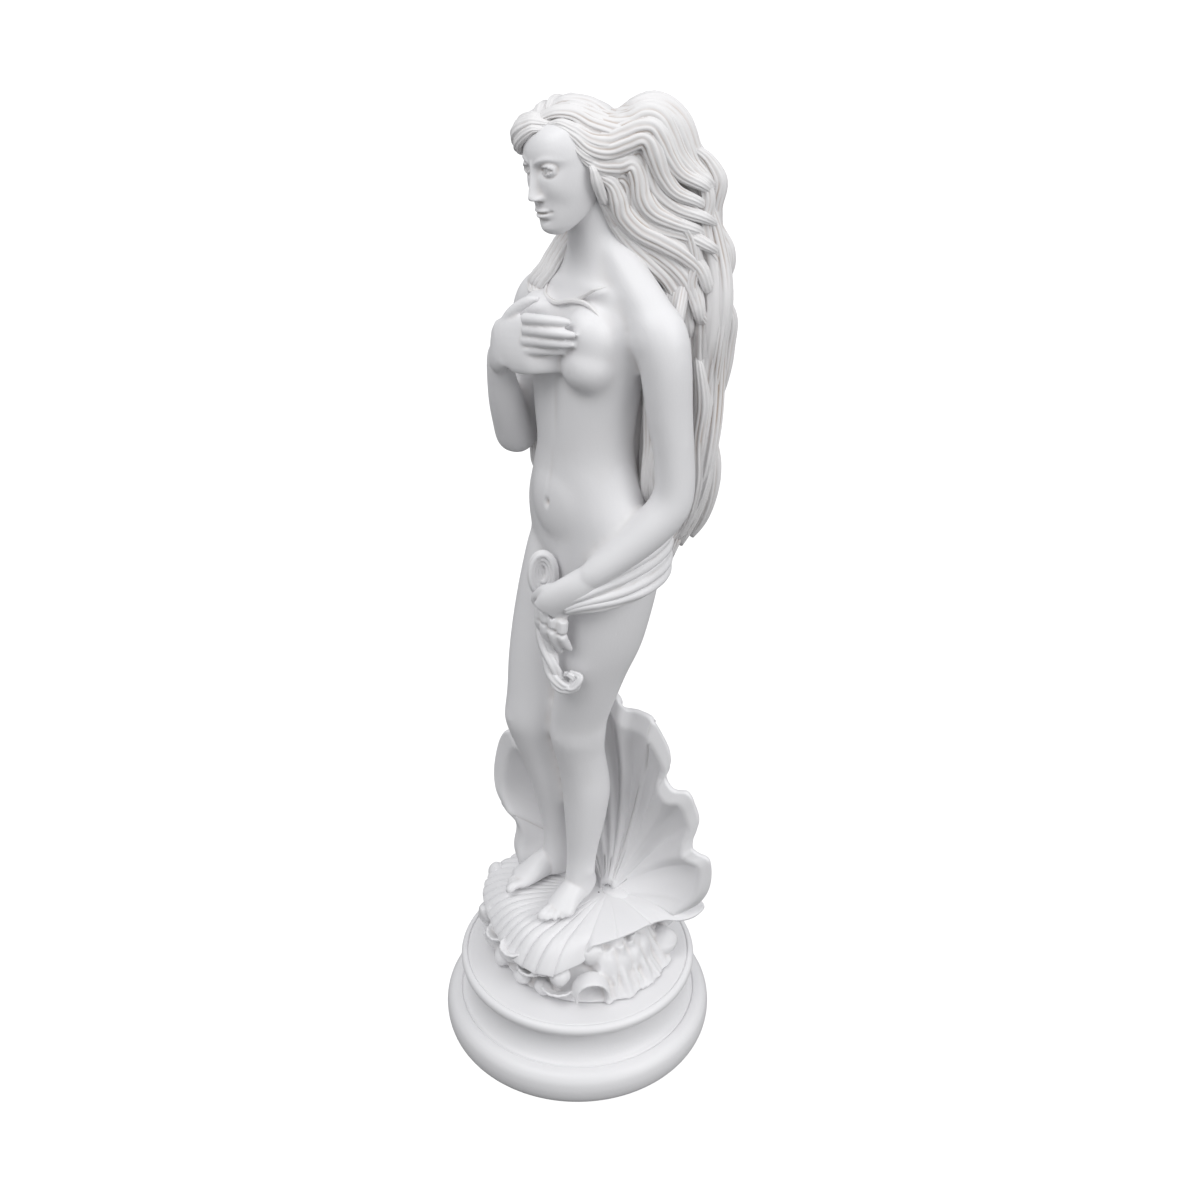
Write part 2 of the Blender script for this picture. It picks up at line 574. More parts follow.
# Locks blown back from the parting over her left side: half width, half depth, and points
BLOWN_LOCKS = [
    (4, 2, [
        (-8.9, -5.6, 245), (-5.7, -3.2, 247.1), (-2.3, -0.4, 248), (1.4, 2.8, 246.9), (4.5, 5.8, 244.2),
        (8.3, 9.7, 244.2), (12.2, 14, 246.4), (15.9, 17.9, 243.3), (18.1, 20.2, 237.5),
        (19.5, 21.7, 232.7), (18.3, 24.4, 228.6),
    ]),
    (3.5, 1.9, [
        (-4.7, -7.9, 245.2), (-1.7, -5.5, 247), (1.6, -2.6, 247.3), (4.7, 0.5, 245.5),
        (7.6, 3.7, 243.6), (11.1, 7.7, 244.1), (14.1, 11.4, 245.9), (16.6, 14.5, 243.5),
        (18.5, 16.9, 238.6), (20.1, 19, 233.7), (22.7, 22.2, 229.7), (22.3, 25.9, 226.1),
    ]),
    (3.1, 1.9, [
        (-7, -11.1, 244.6), (-4.5, -9.4, 245.2), (-1.2, -6.8, 246.6), (2.5, -3.7, 246.7),
        (5.8, -0.5, 244.4), (9.1, 3, 243.3), (11.9, 6.3, 244), (14.3, 9.2, 245.8), (16.2, 11.5, 244.8),
        (17.7, 13.5, 241), (19.3, 15.5, 236.1), (21.5, 18.3, 232.2), (24.1, 21.5, 229.4),
        (23.6, 25.2, 226.5),
    ]),
    (2.7, 1.9, [
        (-0.6, -9.6, 245), (2.3, -7.7, 245.2), (5.1, -5.4, 243.4), (7.5, -2.6, 241.1),
        (9.6, 0.6, 240.5), (11.7, 3.8, 241.8), (14, 6.9, 243.3), (16.2, 9.5, 243.3),
        (17.7, 11.5, 239.9), (19, 13.1, 236), (20.9, 15.5, 232.1), (24.4, 19.7, 229.1),
        (24.5, 24, 226.1),
    ]),
    (2.7, 1.8, [
        (-0.1, -9.7, 244.6), (3.2, -7.8, 244.2), (5.9, -5.7, 242), (8, -3.2, 239.4), (10.1, 0.1, 238.7),
        (12.5, 3.7, 240), (14.8, 6.9, 241.3), (16.3, 8.8, 240.1), (17.4, 10.3, 236.2),
        (18.4, 11.8, 231.8), (20.3, 14.2, 227.8), (23.8, 18.5, 225.2), (23.9, 22.9, 222.4),
    ]),
    (2.7, 1.8, [
        (3.5, -8.8, 243.5), (6, -6.8, 240.8), (7.8, -4.3, 237.8), (9.3, -0.3, 236.7),
        (10.8, 4.1, 237.2), (12.6, 7.8, 237.8), (13.9, 9.6, 235.6), (15, 10.4, 231.3), (17, 12, 227),
        (20.3, 15.1, 223.6), (25, 19.6, 221.3), (25.8, 24.1, 218.7),
    ]),
    (2.6, 1.7, [
        (6.6, -7.7, 240.6), (8.1, -5.1, 237.3), (9.4, -1.9, 235.1), (11.1, 1.9, 234.7),
        (13.1, 5.4, 235), (14.1, 7.2, 231.7), (14.9, 8.2, 226.8), (16.8, 10.3, 222.8),
        (20.1, 14, 220.3), (23.8, 18.2, 218.3), (24, 22.5, 215.9),
    ]),
    (2.6, 1.7, [
        (8.5, -5.6, 238.2), (9.2, -2.9, 235), (9.9, 0.4, 232.8), (10.9, 4, 232.7), (11.8, 6.4, 229.9),
        (12.5, 7.5, 225.4), (14.3, 9.3, 221.2), (17.5, 12.5, 218.5), (22.1, 17.2, 216.6),
        (26, 21.1, 213.9), (26.3, 25.2, 211.1),
    ]),
    (2.6, 1.7, [
        (9.1, -4.8, 236.3), (9.6, -2, 233), (10.7, 1.3, 230.7), (11.2, 3.2, 227), (11.9, 4.7, 222.6),
        (14.5, 7.8, 218.3), (17.7, 11.7, 215.7), (21.2, 16, 212.5), (24.2, 19.7, 208.3),
        (25.6, 21.5, 203), (24.4, 24.4, 198.6),
    ]),
    (1.3, 1.1, [
        (9.4, -4.4, 236.7), (10, -3.7, 233.8), (10.1, -2.4, 230.2), (9.3, 0.3, 226.4),
        (7.8, 4.1, 224.3), (8.6, 5.1, 226.3),
    ]),
    (2.6, 1.7, [
        (9.5, -2.6, 231.1), (8.9, 1.4, 224.9), (10, 5.2, 219.8), (13.1, 9.3, 215.1),
        (16.8, 13.4, 211.5), (20.4, 17.2, 206.9), (22.7, 19.4, 201.7), (24, 20.6, 195.4),
        (22.8, 23.1, 190.4),
    ]),
    (2.6, 1.6, [
        (7.5, 1.3, 225.6), (9.2, 3.9, 219.9), (12, 7.6, 214.7), (15.1, 11.7, 209.9),
        (18.2, 15.9, 204.5), (20.1, 18.6, 198), (20.6, 19.9, 190.8), (18.9, 22.5, 185.3),
    ]),
    (2, 1.8, [
        (11.2, 17.4, 245.4), (14.6, 17.2, 243.6), (16.2, 19.4, 239.8), (18.6, 22.8, 235.2),
        (20.2, 25, 232.6), (19.6, 25, 228.4), (17.8, 23.6, 227),
    ]),
    (2.2, 2, [
        (15.4, 23, 239.9), (18.6, 20.8, 237.5), (21.1, 24, 234.1), (22.9, 26.4, 228.6),
        (22.1, 25.9, 222.5), (22.1, 26.2, 217.3), (24.5, 28.8, 211), (24.5, 29.2, 205.7),
        (22.1, 27.3, 200.8), (21.7, 27.3, 195.9),
    ]),
    (2, 1.8, [
        (16.9, 20.2, 237.3), (20.1, 18, 234.9), (22.3, 20.9, 230.4), (23.3, 22.3, 224.9),
        (22.6, 21.9, 219.3), (23.3, 23, 213.6), (25, 25.3, 208.9), (23.6, 24.1, 203),
        (21.9, 22.6, 198.1), (23, 24.1, 191.6),
    ]),
    (1.8, 1.6, [
        (18, 17.7, 223.2), (21.2, 15.5, 220.8), (22.6, 17.8, 215.6), (23.1, 19.1, 209.8),
        (22.3, 18.9, 203.9), (23.1, 20.6, 197.9), (25.1, 23.5, 191.8), (24.6, 23.6, 185.6),
    ]),
    (2, 1.8, [
        (18.4, 27.9, 203), (21.6, 25.7, 200.6), (24.1, 28.2, 197.7), (25.8, 29.9, 192.6),
        (25.3, 30, 185.3), (24.6, 29.8, 177.2), (23.3, 29.7, 171.3), (21.3, 28.7, 167.6),
    ]),
    (1.9, 1.7, [
        (18.1, 24.5, 202), (21.3, 22.3, 199.6), (23.9, 26, 194.6), (24.7, 27.8, 187.8),
        (24.2, 28.1, 180.4), (22.9, 27.7, 172.7), (21.3, 26.7, 165.5),
    ]),
    (2.2, 1.8, [
        (18.8, 31.5, 172.1), (22, 29.3, 169.7), (20.2, 28.6, 164.4), (20.9, 29.2, 157.7),
        (22.4, 29.8, 150.4), (22.2, 29.6, 141.1), (20.4, 28.9, 132.8), (18.1, 27.1, 126.3),
    ]),
    (2.2, 1.8, [
        (19.7, 25.5, 188.4), (22.9, 23.3, 186), (23.7, 25.3, 176), (22.3, 25.7, 166), (23.1, 26.1, 155),
        (22.7, 25.9, 144), (20.7, 24.7, 134), (17.9, 22.9, 125),
    ]),
    (2, 1.7, [
        (20.7, 23.1, 184.4), (23.9, 20.9, 182), (24.9, 22.1, 171), (23.9, 22.1, 160), (24.5, 21.9, 149),
        (23.1, 21.3, 138), (20.3, 19.9, 129),
    ]),
]
# Guide paths of the hair's body: under the blown locks, on her right side, where the first
# point is in the head's own frame, and down her back
BLOWN_MASS = [
    [
        (9, -0.5, 231), (10, 4.5, 226), (12.5, 9.5, 220), (17, 15, 214), (21, 19.5, 207),
        (22.5, 22.5, 197), (22, 24, 184),
    ],
    [
        (8.6, -2.4, 236), (10, 4, 232), (13, 10, 228), (17.5, 15.5, 222), (22, 21, 214),
        (24, 24.5, 203), (23.5, 26, 190),
    ],
    [
        (6.6, -4.4, 241), (9.4, 3.5, 238), (13, 10.5, 237), (17.5, 16, 232), (21.5, 21.5, 225),
        (24, 25.5, 214), (24, 27, 200),
    ],
    [
        (2, -5.4, 245.2), (6.6, 3, 243.4), (11, 10.5, 243), (15.5, 16.5, 241), (19.5, 22, 234),
        (22.5, 26, 224), (23.5, 27.5, 210),
    ],
    [
        (0, 0, 247), (4, 7, 245), (8, 13, 243), (12.5, 18, 241), (17, 22.5, 235), (20, 26, 225),
        (21.5, 27, 210),
    ],
]
FAR_SIDE = [
    [
        (-9.4, -2.6, 15.5), (-12.4, -1, 231), (-13.2, 3, 226), (-12.4, 7.6, 221), (-12, 11, 214),
        (-14, 13, 205),
    ],
    [
        (-9.6, -4.8, 19), (-13.4, -4, 236.5), (-14.2, 1.5, 233.5), (-13, 7.5, 230), (-11.4, 12, 223),
        (-12, 14.5, 212),
    ],
    [
        (-6.6, -7.4, 22.6), (-12.4, -6.4, 241), (-14, 0, 238.5), (-12.6, 7, 237), (-10, 13, 231),
        (-9, 16, 219),
    ],
    [
        (-0.6, -9.4, 24.6), (-8, -6, 245), (-11.6, 0.6, 243), (-10.8, 7.6, 242), (-8, 14, 237),
        (-6, 18, 226),
    ],
    [
        (-0.4, -3.4, 26.2), (-5.4, -0.2, 247), (-8.4, 5, 245), (-7.4, 10.6, 243.4), (-5, 16, 238),
        (-3, 19, 228),
    ],
    [
        (-0.2, 2.4, 26.6), (-2.8, 5.4, 246.6), (-4, 10, 244.4), (-3.4, 14.4, 241.6), (-1, 18, 236),
        (1, 20, 227),
    ],
]
BACK_FALL = [
    [
        (-10, 7, 226), (-13, 11, 213), (-18, 14, 198), (-22, 11.5, 180), (-24, 7, 162), (-22, 8, 142),
        (-17, 11, 126),
    ],
    [
        (-8, 11, 230), (-10, 15, 213), (-13, 17.5, 196), (-16, 16, 177), (-17, 14, 158), (-15, 15, 140),
        (-11, 17, 123),
    ],
    [
        (-3, 15, 233), (-3, 19, 215), (-4, 20, 196), (-5, 19, 176), (-5, 18, 157), (-4, 19.5, 138),
        (-2, 20, 121),
    ],
    [
        (4, 18, 235), (5, 21, 216), (6, 21.5, 196), (7, 20.5, 176), (8, 20, 156), (7, 21.5, 137),
        (6, 20.5, 120),
    ],
    [
        (11, 21, 236), (14, 23, 217), (16, 24, 197), (18, 23.5, 178), (19, 23.5, 158), (16, 23.5, 138),
        (12, 20.5, 121),
    ],
    [
        (17, 23, 234), (21, 25, 217), (23.5, 26, 198), (24, 26, 179), (24, 25.5, 160), (22, 24, 140),
        (16, 20, 122),
    ],
    [
        (21, 22, 231), (25, 24.5, 217), (27, 26.5, 200), (27, 26.5, 181), (25.5, 25, 162),
        (24, 23.5, 143), (19, 19, 123),
    ],
]
# Locks over her right brow: half width, half depth, and points
BROW_LOCKS = [
    (2.2, 1.7, [
        (-0.6, -9.2, 245.2), (-4.8, -10.8, 244.2), (-8.6, -11.6, 241.6), (-10.4, -9.6, 238.6),
        (-11, -5.4, 236.2), (-11.2, 0, 234),
    ]),
    (2.2, 1.7, [
        (-1, -8.2, 245.8), (-6, -9.4, 244.8), (-9.8, -9.6, 242.4), (-11.8, -7.4, 240.2),
        (-12.2, -3, 238.4), (-12.2, 2, 236),
    ]),
    (1.6, 1.3, [
        (-0.8, -10.4, 244), (-4.4, -11.8, 242.4), (-8, -12, 239.2), (-9.8, -9.8, 236.6),
        (-10.4, -6, 234.6),
    ]),
]
# A curl on her right shoulder, and fine strands over the collar
SHOULDER_CURL = [
    (-5.8, 3.4, 218), (-7.2, 1.6, 212), (-8.4, -0.4, 208), (-9.4, -2.2, 204.6), (-11.2, -3.2, 202),
    (-12.4, -3.6, 199.8), (-11.2, -4.8, 198.4), (-9.4, -5.2, 199.4),
]
COLLAR_STRANDS = [
    [
        (-9.6, -2.2, 203), (-7.3, -4.7, 199.4), (-3.1, -5.3, 198.1), (1.9, -4.9, 199.6),
        (6.7, -4.3, 201.9), (11.3, -4.4, 204.9), (13.5, -2.7, 206),
    ],
    [
        (-3.4, -5, 197.9), (-0.6, -5.6, 198.7), (3.3, -5.2, 200.2), (7.4, -4.7, 200.6),
        (10.9, -4.5, 199.6), (13.6, -4.8, 197.6),
    ],
]

# Guide paths seen past the waist: under her left arm, and behind her right elbow
BESIDE_WAIST = [
    [
        (16, 17, 206), (17.6, 12.4, 192), (18.2, 10, 176), (17, 8.6, 160), (17.6, 9.6, 146),
        (17, 14, 134),
    ],
    [
        (21, 18, 206), (22.6, 13.4, 192), (23.6, 11.4, 176), (22.6, 10.6, 160), (22.8, 11, 146),
        (20, 15, 134),
    ],
]
BEHIND_ELBOW = [
    [
        (-11, 15, 204), (-15, 12.6, 188), (-18.6, 9.8, 172), (-20.4, 6.8, 160), (-20.2, 6, 151),
        (-19.4, 5.4, 143), (-17, 6.5, 136),
    ],
    [
        (-14, 15, 204), (-20, 13, 188), (-25, 10, 172), (-27.4, 7.2, 160), (-26.4, 6.4, 151),
        (-25, 5.2, 143), (-21, 5.8, 136),
    ],
]


def rooted(guides):
    """Guides whose first point is given on the head."""
    return [[tuple(on_head(*guide[0]))] + guide[1:] for guide in guides]


def blown_hair_bmesh():
    bm = bmesh.new()
    for i, (wide, deep, points) in enumerate(BLOWN_LOCKS):
        ridges = 10 if wide > 1.6 else 7
        add_lock(bm, points, wide, deep, NEAR_OUT, ridges, turn=0.4 * i, root=0.2, tip=0.25)
    for wide, deep, points in BROW_LOCKS:
        add_lock(bm, points, wide, deep, (-0.5, -0.8, 0.2), root=0.3)
    for points in COLLAR_STRANDS:
        add_lock(bm, points, 0.62, 0.62, (0.2, -1, 0.3), ridges=4, sides=20, root=0.4)
    for k in range(3):
        curl = np.array(SHOULDER_CURL) + np.array((1.3, 0.1, -0.3)) * (k - 1)
        add_lock(bm, curl, 1.7 - 0.2 * k, 1.4, (-0.3, -0.9, 0.3), ridges=6, root=0.8)
    return risen(bm)


def hair_mass_bmesh():
    """What lies under and behind the blown locks: the hair's body and her right side."""
    bm = bmesh.new()
    add_ball(bm, on_head(0, 4.6, 17.2), (10.6, 11.6, 11.2), (0, 0, HEAD_YAW), 48)
    add_sheet(bm, BLOWN_MASS, 14, 2.9, 2.2, NEAR_OUT, 0.9, 1.6, 2.0, sink=1.5, sides=36)
    far = rooted(FAR_SIDE)
    add_sheet(bm, far, 10, 2.2, 1.8, FAR_OUT, 0.9, 1.3, 1.1, sides=36)
    add_sheet(bm, far, 7, 2.8, 1.6, FAR_OUT, 0.5, 1.3, 2.6, sink=1.8, sides=24)
    return risen(bm)


def back_hair_bmesh():
    bm = bmesh.new()
    add_sheet(bm, BACK_FALL, 16, 2.4, 2.0, None, 1.4, 2.6, 0.9, root=0.8, tip=0.4, sides=36)
    add_sheet(bm, BACK_FALL, 12, 3.0, 2.2, None, 0.9, 2.6, 2.4, sink=2.2, root=0.8, tip=0.4, sides=24)
    add_sheet(bm, BESIDE_WAIST, 4, 1.9, 1.9, (0.3, -0.9, 0), 0.9, 2.6, 0.4, root=0.8, sides=30)
    add_sheet(bm, BEHIND_ELBOW, 5, 1.9, 1.9, (-0.6, -0.7, 0), 0.9, 2.6, 1.4, root=0.8, sides=30)
    return risen(bm)


# Folds round a strip of cloth, and how far they wander along it, in radians
CLOTH_FOLDS = 2
FOLD_DRIFT = 0.32


def add_cloth(bm, rows, side, deep=0.35, sides=24):
    """A folded strip swept along rows of x, y, z, half width and half thickness."""
    rows = smooth_rows(rows, 8)
    path = rows[:, :3]
    along = unit(np.gradient(path, axis=0))
    across = unit(np.array(side) - along * (along @ np.array(side, float))[:, None])
    share = np.linspace(0, 1, len(rows))[:, None]
    angle = np.arange(sides) / sides * 2 * math.pi
    drift = FOLD_DRIFT * np.sin(6.9 * share)
    fold = 1 + deep * (abs(np.cos(CLOTH_FOLDS * (angle + drift))) - 0.6)
    x = rows[:, 3:4] * np.cos(angle) * (0.5 + 0.5 * fold)
    y = rows[:, 4:5] * fold * np.sin(angle)
    add_tube(bm, swept(path, across, np.cross(along, across), x, y))


HIP_FOLDS = [
    [
        (12, 20.5, 135), (19.8, 15, 133.4), (22.6, 7, 132), (22.2, -0.6, 129.6), (19.9, -6.8, 126.6),
        (16.4, -11.6, 123.4), (12.4, -15.2, 120.2),
    ],
    [
        (12.6, 20.5, 131.6), (20.6, 14.4, 130), (23.2, 5.4, 128.6), (22.2, -2.6, 126.2),
        (19.8, -8, 124), (16.2, -12.4, 121.4), (12, -15.2, 118.8),
    ],
    [
        (13, 20.5, 128), (21.2, 13.6, 126.4), (23.6, 4.4, 125.2), (22.4, -3.4, 123.2),
        (19.8, -8.6, 121.6), (15.8, -12.6, 119.8), (11.8, -15, 117.6),
    ],
    [
        (13, 20.3, 124), (21.4, 13, 122.8), (23.8, 3.6, 121.8), (22.2, -4.2, 120.4),
        (19.4, -9.2, 119.4), (15.6, -12.8, 118.2), (11.8, -14.8, 116.4),
    ],
]
# The loop over the hand: its middle, the way it is wide, its half height, and outwards
LOOP_MIDDLE = np.array((-1.7, -11.4, 121.3))
LOOP_ASIDE = np.array((0.669, 0.743, 0.0))
LOOP_UP = np.array((0, 0, 6.0))
LOOP_OUT = np.array((0.743, -0.669, 0))
# The end on the thigh: points, and the half width at each
HANGING_END = [
    (3.2, -15.2, 114), (3, -15.6, 108), (3.8, -15.4, 102), (5.4, -15, 97), (6.4, -14.6, 93),
    (9.4, -14.4, 90.4), (12.4, -13.2, 90.6), (13.4, -12.2, 94), (10.8, -13.6, 95),
]
END_SIZES = (1.3, 1.5, 1.6, 1.7, 1.7, 1.5, 1.3, 1.1, 0.7)


def drapery_bmesh():
    """A cloth round the left hip, gathered in the left hand, its end hanging on the thigh."""
    bm = bmesh.new()
    for i, fold in enumerate(HIP_FOLDS):
        last = i == len(HIP_FOLDS) - 1
        thick = [1.5, 1.8, 1.9, 1.7 - 0.2 * last, 1.5, 1.3, 1.1]
        bob = 0.5 * math.sin(2.1 * i)
        rows = [(x, y, z + bob, 1.35 * t, t) for (x, y, z), t in zip(fold, thick)]
        add_cloth(bm, rows, (0, 0, 1), deep=0.4, sides=30)
    for k in range(3):
        turn = np.radians(np.linspace(-95, 275, 16))[:, None]
        size = 1 - 0.27 * k
        ring = LOOP_MIDDLE + LOOP_ASIDE * 3.3 * size * np.cos(turn) + LOOP_UP * size * np.sin(turn)
        ring = ring + LOOP_OUT * (0.7 - 0.6 * k - 0.5 * np.sin(turn))
        add_cloth(bm, [(*point, 1.05, 1.15) for point in ring], LOOP_OUT)
    for k in range(3):
        rows = []
        for i, ((x, y, z), size) in enumerate(zip(HANGING_END, END_SIZES)):
            swing = 2.0 * math.pi * (0.19 * i + k / 3)
            lift = 0.7 * math.cos(swing) * (i > 4)
            spot = (x + 1.3 * math.cos(swing), y + 0.8 * math.sin(swing), z + lift)
            rows.append((*spot, size, size * 0.85))
        add_cloth(bm, rows, (0.7, 0, 0.7), deep=0.4)
    return risen(bm)


# The shell, in units from the soles: its hinge, and how far the upper valve is turned
HINGE = np.array((5.6, 8.4, -1.2))
SHELL_TURN = math.radians(24)
# Rim: x, y, height, how far its edge rolls down, and ribs counted along it
LOWER_RIM = [
    (-20, 22, -1, 1, 0), (-27, 14, -1, 2, 2), (-31.5, 3.5, -1.2, 3, 4), (-32.4, -5.6, -1.4, 3.6, 6),
    (-30.2, -12.4, -1.6, 4.2, 8), (-25.6, -17.6, -1.8, 5, 10), (-19.6, -21, -2, 5.8, 12),
    (-13, -23.8, -2.2, 6.4, 14), (-6.4, -26, -2.4, 6.8, 16), (0.4, -27.6, -2.6, 7.2, 18),
    (5.6, -27.2, -2.8, 7.2, 19.2), (10.6, -26, -3, 6.8, 20.2), (14.6, -23.4, -3, 6.2, 21),
    (16.6, -19.6, -2.8, 5.4, 21.5), (18, -13.6, -2.4, 4.6, 21.9), (18.6, -11.6, -2, 0.6, 22.1),
    (19.9, -9, -1.8, 0.2, 22.5), (21.7, -3.8, -1.6, 0.2, 23.8), (23.1, 2.6, -1.6, 0.2, 25.2),
    (24, 9.4, -1.6, 0.2, 26), (26, 13.6, -1.4, 0.2, 26.6), (29.7, 16.8, -1, 0.2, 27.2),
    (31.6, 21.4, -0.4, 0.4, 27.6), (30.6, 26.5, 0.2, 0.6, 28), (26.6, 27.4, 0.4, 0.6, 28.4),
]
# Rim: place along the valve, height, and flutes counted along it
UPPER_RIM = [
    (30, -1, 0), (34.6, 3.6, 0.2), (37.2, 8.4, 0.35), (38.2, 13.6, 0.5), (38, 19.6, 0.75),
    (37, 21.8, 0.85), (34.4, 22.8, 0.95), (32.4, 24.6, 1.02), (32.3, 28.1, 1.15), (33.2, 32, 1.3),
    (33.6, 35.6, 1.5), (32.2, 40.2, 1.7), (31.2, 43.2, 1.82), (29.6, 44.8, 1.9), (26.3, 44.6, 1.98),
    (23.6, 46.6, 2.06), (22.7, 49.4, 2.2), (23.4, 53.4, 2.4), (23.6, 57, 2.55), (22.2, 60.8, 2.7),
    (20.8, 64, 2.85), (18.9, 67.8, 3), (17.2, 69, 3.1), (13.4, 69.2, 3.4), (9.5, 69.6, 3.9),
    (7.2, 73, 4.1), (3, 74.4, 4.6), (-3, 72.6, 5.1), (-9.6, 71, 5.6), (-16, 65, 6.1),
    (-23.4, 59.6, 6.5), (-27.4, 52.6, 6.9), (-30.8, 49.6, 7.1), (-33.3, 43.9, 7.35), (-34.9, 35, 7.6),
    (-34.4, 28, 7.85), (-31.6, 22.6, 8), (-28.8, 18.6, 8.2), (-27.2, 14, 8.4), (-28, 6, 8.8),
    (-26, 0, 9),
]
# Share of the upper valve at which the crease runs inside its rim
CREASE = 0.92


def add_valve(bm, surface, thickness):
    """A valve through a grid of points, columns by shares, thickened with a rounded rim."""
    along = np.gradient(surface, axis=0)
    outward = np.gradient(surface, axis=1)
    normal = unit(np.cross(along, outward))
    half = thickness[..., None] / 2
    rim_out = unit(surface[:, -1] - surface[:, -2])
    arcs = []
    for turn in np.linspace(0, math.pi, 9)[1:-1]:
        lean = math.cos(turn) * normal[:, -1] + 0.6 * math.sin(turn) * rim_out
        arcs.append(surface[:, -1] + half[:, -1] * lean)
    arc = np.stack(arcs, 1)
    rings = np.concatenate([surface + normal * half, arc, (surface - normal * half)[:, ::-1]], 1)
    add_tube(bm, rings * UNIT)


def lower_valve_bmesh():
    """The valve she stands on: tight ribs rolling over its rim, broad flat ones at her left."""
    bm = bmesh.new()
    rim = smooth_rows(LOWER_RIM, 26)
    share = (np.linspace(0.0, 1.0, 44) ** 0.85)[None, :]
    phase = rim[:, 4:5]
    tight = np.clip((22.0 - phase) / 0.3, 0, 1)
    fine_rib = 1 - (1 - abs(np.sin(math.pi * phase))) ** 2
    broad_rib = 1 - (1 - abs(np.sin(math.pi * phase / 2))) ** 9
    rib = tight * fine_rib + (1 - tight) * broad_rib
    ground = rim[:, None, :2] - HINGE[:2]
    reach = (0.04 + 0.96 * share) * (1 + 0.018 * tight * (rib - 0.5) * share**4)
    spot = HINGE[:2] + ground * reach[..., None]
    fall = rim[:, 2:3] * share**2 - rim[:, 3:4] * np.clip((share - 0.70) / 0.30, 0, 1) ** 2.4
    crest = (0.5 + 0.95 * tight) * np.minimum(1, 1.8 * share) * (rib - 0.6)
    height = -1.0 + fall + crest
    surface = np.concatenate([spot, height[..., None]], 2)
    thickness = np.broadcast_to(2.2 - 1.2 * share, surface.shape[:2])
    add_valve(bm, surface, thickness)
    add_ball(bm, (7.4, 9.8, -0.8), (5.0, 3.4, 2.2), (0, 0, 20))
    return risen(bm)


def upper_valve_bmesh():
    """The valve that stands behind her legs, its broad flutes hollow to the front."""
    bm = bmesh.new()
    rim = smooth_rows(UPPER_RIM, 9)
    share = (np.linspace(0.0, 1.0, 74) ** 0.85)[None, :]
    across = np.array((math.cos(SHELL_TURN), math.sin(SHELL_TURN), 0))
    back = np.array((-math.sin(SHELL_TURN), math.cos(SHELL_TURN), 0))
    foot = np.array((0, 7, 0))
    edge = foot + across * rim[:, 0:1] + np.array((0, 0, 1)) * rim[:, 1:2]
    reach = 0.05 + 0.95 * share
    surface = HINGE + (edge[:, None] - HINGE) * reach[..., None]
    inner = np.minimum(1, share / CREASE)
    lip = np.clip((share - CREASE) / (1 - CREASE), 0, 1)
    valley = abs(np.sin(math.pi * rim[:, 2:3])) ** 0.7
    bowl = 8.0 * np.sin(math.pi * np.minimum(1, share**0.8)) * np.clip(rim[:, 1:2] / 30, 0.15, 1)
    flute = 4.2 * inner * (1 - 0.6 * inner**6) * (valley - 0.4)
    curl = 2.6 * lip - 1.5 * inner**6
    surface = surface + back * (bowl + flute + curl)[..., None]
    thickness = np.broadcast_to(1.8 + 0.6 * share**3, surface.shape[:2])
    add_valve(bm, surface, thickness)
    return risen(bm)


def broken(point, rough):
    """A point pushed in and out by broken noise, as on a weathered rock."""
    cell = noise.cell_vector(point * 160) * 0.35
    wave = noise.noise_vector(point * 90) + noise.noise_vector(point * 210) * 0.5
    return point + (cell + wave) * rough


def add_rock(bm, centre, radii, rough):
    """A lump of rock: centre and radii in units from the plinth's top, roughness in metres."""
    place = Matrix.Translation(Vector(centre) * UNIT) @ Matrix.Diagonal((*(Vector(radii) * UNIT), 1))
    lump = bmesh.ops.create_icosphere(bm, subdivisions=LUMP_SUBDIVISIONS, radius=1, matrix=place)
    for vert in lump["verts"]:
        vert.co = broken(vert.co, rough)


def round_plinth(azimuth, radius, height):
    """A point over the plinth's top, the azimuth counted from her front to her left."""
    turn = math.radians(azimuth)
    return (radius * math.sin(turn), -radius * math.cos(turn), height)


def add_fan(bm, azimuth, radius, height, size, tilt):
    """A small scallop standing out of the rock, its hollow face tilted upwards."""
    made = bmesh.new()
    turns = np.linspace(-1.5, 1.5, 50)[:, None]
    share = np.linspace(0.12, 1, 14)[None, :]
    rib = abs(np.cos(turns * 6))
    x = size * share * np.sin(turns)
    y = -size * share * np.cos(turns)
    z = 0.35 * size * share**2 * np.ones_like(x) + 0.08 * size * share * rib
    add_valve(made, np.stack([x, y, z], 2), np.full(x.shape, 0.9))
    turn = Matrix.Rotation(math.radians(azimuth), 4, "Z") @ Matrix.Rotation(math.radians(tilt), 4, "X")
    place = Matrix.Translation(Vector(round_plinth(azimuth, radius, height)) * UNIT) @ turn
    bmesh.ops.transform(made, matrix=place, verts=made.verts)
    merge_into(bm, made, "fan")


def add_arch(bm, azimuth, radius, height, size):
    """A round mouth of a tube in the rock, open outwards: a ring and its rim."""
    rows = []
    outward = Vector(round_plinth(azimuth, 1, 0))
    aside = Vector((-outward.y, outward.x, 0))
    for i in range(25):
        turn = math.radians(-20 + 220 * i / 24)
        centre = Vector(round_plinth(azimuth, radius, height))
        point = centre + aside * size * math.cos(turn) + Vector((0, 0, size * math.sin(turn)))
        rows.append((*point, 3.4, 0.75))
    add_limb(bm, rows, side=outward, sides=18, steps=2)


# The rock's noise gives the same relief each run
ROCK_SEED = 7

# The columns of water: how many, and the azimuth of the first
DRIPS = 18
DRIPS_FROM = 68


